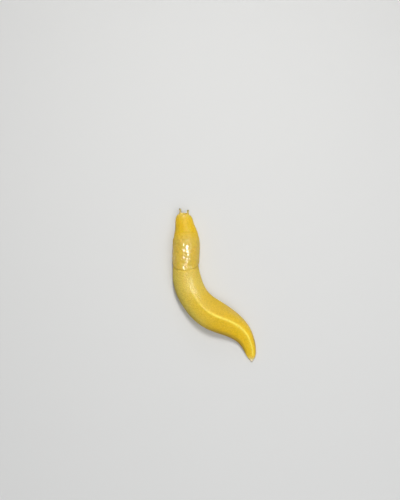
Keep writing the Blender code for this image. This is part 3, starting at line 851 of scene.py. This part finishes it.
def skin_material():
    made, tree, shader = new_material("slug_skin")
    place = node(tree, "ShaderNodeTexCoord").outputs["Object"]
    cloud, fine, mottle = (noise(tree, place, name) for name in ("cloud", "fine", "mottle"))
    dots = node(tree, "ShaderNodeTexVoronoi", Vector=place, Scale=DOT_SCALE).outputs["Distance"]
    shift = times(tree, times(tree, cloud, 0.5, "SUBTRACT"), ALONG_SHIFT)
    colour = tones_along(tree, times(tree, attribute(tree, "along"), shift, "ADD"))

    def share(name, strength):
        return times(tree, attribute(tree, name), strength)

    specks = times(tree, mapped(tree, dots, *SPECKS), mapped(tree, cloud, *SPECK_CLOUDS))
    for factor, tone in (
        (share("olive", mapped(tree, cloud, *OLIVE_CLOUDS)), OLIVE_TONE),
        # the keel's paler line, partly a painted highlight
        (share("crest", KEEL_TONE_AND_HIGHLIGHT_STRENGTH), KEEL_TONE_AND_HIGHLIGHT),
        (attribute(tree, "mantle"), MANTLE_TONE),
        (share("rim", RIM_STRENGTH), TAN_TONE),
        (mapped(tree, cloud, *CLOUDS), CLOUD_TONE),
        (mapped(tree, mottle, *MOTTLES), MOTTLE_TONE),
        (mapped(tree, mottle, *PALE_MOTTLES), PALE_TONE),
        (attribute(tree, "foot"), SOLE_TONE),
        (share("feeler", FEELER_STRENGTH), FEELER_TONE),
        (share("shade", SHADE_STRENGTH), SHADE_TONE),
        (specks, SPECK_TONE),
        # painted shade in hollows, pits and along the hem
        (share("crease_shade", CREASE_SHADE_STRENGTH), CREASE_SHADE_TONE),
    ):
        colour = blend(tree, factor, colour, tone)
    tree.links.new(colour, shader.inputs["Base Color"])

    rough = times(tree, mapped(tree, fine, *ROUGHNESS), share("wet", WET_ROUGHNESS), "SUBTRACT")
    tree.links.new(rough, shader.inputs["Roughness"])
    tree.links.new(share("wet", mapped(tree, cloud, *WET_CLOUDS)), shader.inputs["Coat Weight"])
    finish(shader, SKIN_GLOSS)
    grain = node(tree, "ShaderNodeTexVoronoi", {"feature": "SMOOTH_F1"}, Vector=place, Scale=GRAIN_SCALE)
    grain = times(tree, grain.outputs["Distance"], BUMP_GRAIN)
    height = times(tree, times(tree, fine, BUMP_FINE), grain, "ADD")
    for socket, (strength, deep) in (("Normal", BUMP), ("Coat Normal", COAT_BUMP)):
        bump = node(tree, "ShaderNodeBump", Strength=strength, Distance=deep, Height=height)
        tree.links.new(bump.outputs["Normal"], shader.inputs[socket])
    return made


def eye_material():
    made, tree, shader = new_material("slug_eye")
    place = node(tree, "ShaderNodeTexCoord").outputs["Object"]
    tone = blend(tree, mapped(tree, noise(tree, place, "eye"), *EYE_CLOUDS), *EYE_TONES)
    tree.links.new(tone, shader.inputs["Base Color"])
    finish(shader, EYE_GLOSS)
    return made


# Building the skin

# Places of the strips in the map: where each starts, and its length or width
BODY_STRIP, FEELER_STRIP = ((0.01, 0.98), (0.12, 0.84)), ((0.02, 0.2), (0.01, 0.075 / 1.1))
FEELER_STRIP_STEP, FEELER_STRIP_END, FEELER_MAPPED = 0.24, 1.05, 0.35
MAP_STEPS = 1600


def unbroken_turns(angles):
    """Shares of a turn at the corners of faces, past 1 in a face that crosses the cut."""
    turn = angles / (2 * math.pi) + 0.5
    crosses = turn.max(1) - turn.min(1) > 0.5
    turn[crosses] = np.where(turn[crosses] < 0.5, turn[crosses] + 1, turn[crosses])
    return turn


def unwrap(data, quads, distance, angle, feeler, which, along_feeler, turn_feeler):
    """A map with the body as one strip, slit along the sole, and a small strip for each feeler."""
    steps = np.linspace(0, BODY_LENGTH, MAP_STEPS)
    half_width = section_sizes(np.clip(steps, 0.0, BODY_LENGTH - TAIL_SHELF))[0]
    arc = np.concatenate([[0], np.cumsum(np.hypot(np.diff(steps), np.diff(half_width)))])
    (left, long), (low, wide) = BODY_STRIP
    u = left + long * np.interp(distance, steps, arc / arc[-1])[quads]
    v = low + wide * unbroken_turns(angle[quads])
    (left, long), (low, wide) = FEELER_STRIP
    on_feeler = feeler[quads].min(1) > FEELER_MAPPED
    for k in range(len(FEELERS)):
        rows = on_feeler & (which[quads[:, 0]] == k)
        along = np.clip(along_feeler[quads[rows]], 0, FEELER_STRIP_END)
        u[rows] = left + FEELER_STRIP_STEP * k + long * along
        v[rows] = low + wide * unbroken_turns(turn_feeler[quads[rows]])
    layer = data.uv_layers.new(name="OFBake")
    layer.data.foreach_set("uv", np.stack([u, v], -1).astype(np.float32).ravel())


def patch(side, distance, place):
    """A soft patch on one side of the body."""
    across, start, end = place
    return ramp(side, *across) * band(distance, start, end)


def skin_layers(distance, angle, side, feeler, masks, hollow, pits):
    """What the material reads at each point: how strongly each tone (the keel's paler line partly a painted
    highlight), the painted shade in creases, pits and along the hem, or wetness shows.
    """
    # Painted shade: darker in the skin's hollows, in the carved pores and mouth, and along the mantle's rear
    # hem
    hem = masks["hem"] * masks["rear"]
    hem_middle = hem * (1 - ramp(np.abs(side), *HEM_MIDDLE))
    crease_shade = ramp(hollow, *CREASE_HOLLOW) * (1 - masks["sole"]) * (1 - HEM_MIDDLE_FADE * hem_middle)
    crease_shade = crease_shade * (1 - FRONT_HEM_FADE * masks["hem"] * (1 - masks["rear"]))
    crease_shade = np.maximum(crease_shade, ramp(pits, *CREASE_PITS))
    crease_shade = np.maximum(crease_shade, hem * (HEM_FAINT + (1 - HEM_FAINT) * ramp(np.abs(side), *HEM_CLEAR)))
    shade = patch(-side, distance, LEFT_SHADE)
    shade = shade + SHOULDER_SHADE_SHARE * patch(-side, distance, SHOULDER_SHADE)
    shade = shade + TAIL_SHADE_SHARE * patch(side, distance, TAIL_SHADE)
    # The keel's crest painted paler: partly its own paler line, partly a painted highlight, with a wider
    # painted highlight near the tail
    crest = masks["crest"] * (CREST_FAINT + (1 - CREST_FAINT) * ramp(distance, *CREST_CLEAR))
    keel_highlight = bell(angle, 0, KEEL_PAINTED_HIGHLIGHT_WIDTH) * ramp(distance, *KEEL_PAINTED_HIGHLIGHT_START) * (1 - feeler)
    pale_crest_and_highlight = (crest + KEEL_PAINTED_HIGHLIGHT * keel_highlight) * (1 - ramp(distance, *CREST_TONE_AND_HIGHLIGHT_END))
    glaze = GLAZE_LEAST + (1 - GLAZE_LEAST) * bell(distance, *GLAZE_AT)
    glaze = glaze * (1 - GLAZE_SIDE_LOSS * ramp(np.abs(side), *GLAZE_SIDES))
    wet = (
        WET_LEAST + (1 - WET_LEAST) * masks["mantle"] * ramp(distance, *WET_START) * glaze
        + NOSE_WET * spot(distance, angle, *NOSE_SPOT)
        + CREST_WET * crest
        + SHOULDER_WET * spot(distance, angle, *SHOULDER_SPOT) * (1 - masks["mantle"])
    )
    return {
        "along": distance / BODY_LENGTH,
        "mantle": masks["mantle"] * ramp(distance, *MANTLE_TONE_START),
        "crest": np.minimum(1, pale_crest_and_highlight),
        "foot": masks["foot"] * (1 - ramp(distance, *FOOT_TONE_END)),
        "feeler": feeler,
        "crease_shade": crease_shade,
        "olive": patch(-side, distance, OLIVE_PATCH),
        "rim": patch(side, distance, RIM_PATCH) * (1 - masks["foot"]),
        "wet": wet,
        "shade": shade,
    }


def build_skin():
    points, quads, data = fused_flesh()
    surface = Surface(points, quads)
    surface.smooth(FIRST_SMOOTHING)
    feeler, which, along_feeler, turn_feeler = feeler_shares(surface.points)
    base = np.zeros(len(points))
    for name in FEELERS:
        far = np.linalg.norm(surface.points - np.array(feeler_axis(name)[0]), axis=1)
        base = np.maximum(base, 1 - ramp(far - FEELERS[name][5][0], *FEELER_SMOOTHING_REACH))
    surface.smooth(FEELER_SMOOTHING, FEELER_SMOOTHING_WEIGHT * base)
    distance, angle, side = skin_places(surface.points)
    normals = surface.normals()
    if np.sum(normals[:, 2] * (surface.points[:, 2] - MIDDLE_LEVEL)) < 0:
        raise RuntimeError("the fused flesh is inside out")
    height, masks = relief(surface.points, distance, angle, feeler)
    surface.points += normals * height[:, None]
    pits = carve(surface, normals)
    surface.smooth(1, LAST_SMOOTHING)
    surface.points[:, 2] = np.maximum(surface.points[:, 2], 0)
    soft = surface.points
    for _ in range(SOFT_STEPS):
        soft = surface.averaged_points(soft)
    hollow = ((soft - surface.points) * surface.normals()).sum(1)

    data.vertices.foreach_set("co", (surface.points * MM).astype(np.float32).ravel())
    layers = skin_layers(distance, angle, side, feeler, masks, hollow, pits)
    for name, values in layers.items():
        layer = data.attributes.new(name, "FLOAT", "POINT")
        layer.data.foreach_set("value", np.ascontiguousarray(values, np.float32))
    unwrap(data, quads, distance, angle, feeler, which, along_feeler, turn_feeler)
    data.name = "slug_skin"
    data.shade_smooth()
    data.update()
    skin = bpy.data.objects.new("slug_skin", data)
    bpy.context.scene.collection.objects.link(skin)
    data.materials.clear()
    data.materials.append(skin_material())
    return skin


def eyeball(name, feeler_name, material):
    """An eye: a fine ball near the end of its feeler."""
    shells = Shells()
    shells.tube(ellipsoid_rings(np.zeros(3), np.eye(3), [EYE_RADIUS] * 3))
    made = shells.mesh(name)
    made.data.transform(Matrix.Translation(eye_place(feeler_name)))
    made.data.transform(Matrix.Scale(MM, 4))
    made.data.shade_smooth()
    made.data.materials.append(material)
    return made


skin = build_skin()
FLESH = [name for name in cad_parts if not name.startswith("eye")]
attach(skin, "root")
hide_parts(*FLESH)
eye_finish = eye_material()
for side in ("left", "right"):
    eye = eyeball(f"eyeball_{side}", f"upper_tentacle_{side}", eye_finish)
    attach(eye, "root")
    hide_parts(f"eye_{side}")


# Floor, lights and camera

FLOOR_REACH, FLOOR_DROP = 3.0, 0.00002
VIEWED = (0, 0, 0.008)  # the middle of the slug, which the lights and the camera look at
SKY_GAP, FRONT_GAP = (-0.02, -0.34, 0.82), (0.04, -0.95, 0.5)
# Name, place, size, power in watts, colour, and the kind of ray that doesn't see it
LIGHTS = (
    ("sky_gap", SKY_GAP, (0.15, 0.4), 4.2, (1.0, 0.99, 0.97), "visible_glossy"),
    ("sky_glint", (-0.07, -0.34, 0.82), (0.20, 0.36), 12.0, (1.0, 0.99, 0.98), "visible_diffuse"),
    ("front_gap", FRONT_GAP, (0.3, 0.3), 0.6, (1.0, 0.99, 0.97), None),
    ("front_glint", FRONT_GAP, (0.24, 0.24), 3.5, (1.0, 0.99, 0.97), "visible_diffuse"),
    ("soft_fill", (-0.25, 0.6, 1.0), (1.1, 1.1), 7.2, (0.97, 0.98, 1.0), "visible_glossy"),
)
WORLD_COLOUR, WORLD_STRENGTH = (0.95, 0.97, 1.0, 1), 0.20

floor_material, _, floor_shader = new_material("pale_floor")
finish(floor_shader, FLOOR_FINISH)
floor_mesh = bpy.data.meshes.new("floor")
corners = [(x * FLOOR_REACH, y * FLOOR_REACH, 0) for x, y in ((-1, -1), (1, -1), (1, 1), (-1, 1))]
floor_mesh.from_pydata(corners, [], [(0, 1, 2, 3)])
floor_mesh.materials.append(floor_material)
floor = bpy.data.objects.new("floor", floor_mesh)
floor.location.z = -FLOOR_DROP
bpy.context.scene.collection.objects.link(floor)

for name, place, size, power, colour, unseen_by in LIGHTS:
    lamp = bpy.data.lights.new(name, "AREA")
    lamp.shape = "ELLIPSE"
    lamp.size, lamp.size_y = size
    lamp.energy = power
    lamp.color = colour
    light = bpy.data.objects.new(name, lamp)
    light.location = place
    light.rotation_euler = (Vector(VIEWED) - Vector(place)).to_track_quat("-Z", "Y").to_euler()
    if unseen_by:
        setattr(light, unseen_by, False)
    bpy.context.scene.collection.objects.link(light)

world = bpy.data.worlds.new("studio")
world.use_nodes = True
background = world.node_tree.nodes["Background"]
finish(background, {"Color": WORLD_COLOUR, "Strength": WORLD_STRENGTH})
bpy.context.scene.world = world
bpy.context.scene.view_settings.view_transform = "Standard"

# The photo is taken from above the tail's side, 15 degrees from straight down, as a 400 x 500
# frame whose focal length is 600 pixels. The middle of the slug shows at pixel (213.5, 282.1).
PHOTO_WIDTH, PHOTO_HEIGHT = 400, 500
FOCAL, DISTANCE, ELEVATION = 600.0, 0.528, math.radians(75)
SHOWN_AT = (213.5, 282.1)
SENSOR, CLIP_START = 36.0, 0.01
forward = Vector((0, -math.cos(ELEVATION), -math.sin(ELEVATION)))
upward = Vector((0, -math.sin(ELEVATION), math.cos(ELEVATION)))
rightward = forward.cross(upward)
camera_data = bpy.data.cameras.new("photo_view")
camera_data.sensor_fit = "VERTICAL"
camera_data.sensor_height = SENSOR
camera_data.lens = SENSOR * FOCAL / PHOTO_HEIGHT
camera_data.clip_start = CLIP_START
camera = bpy.data.objects.new("photo_view", camera_data)
camera.location = (
    Vector(VIEWED) - forward * DISTANCE
    - rightward * (SHOWN_AT[0] - PHOTO_WIDTH / 2) / FOCAL * DISTANCE
    + upward * (SHOWN_AT[1] - PHOTO_HEIGHT / 2) / FOCAL * DISTANCE
)
camera.rotation_euler = Matrix((rightward, upward, -forward)).transposed().to_euler()
bpy.context.scene.collection.objects.link(camera)
bpy.context.scene.camera = camera
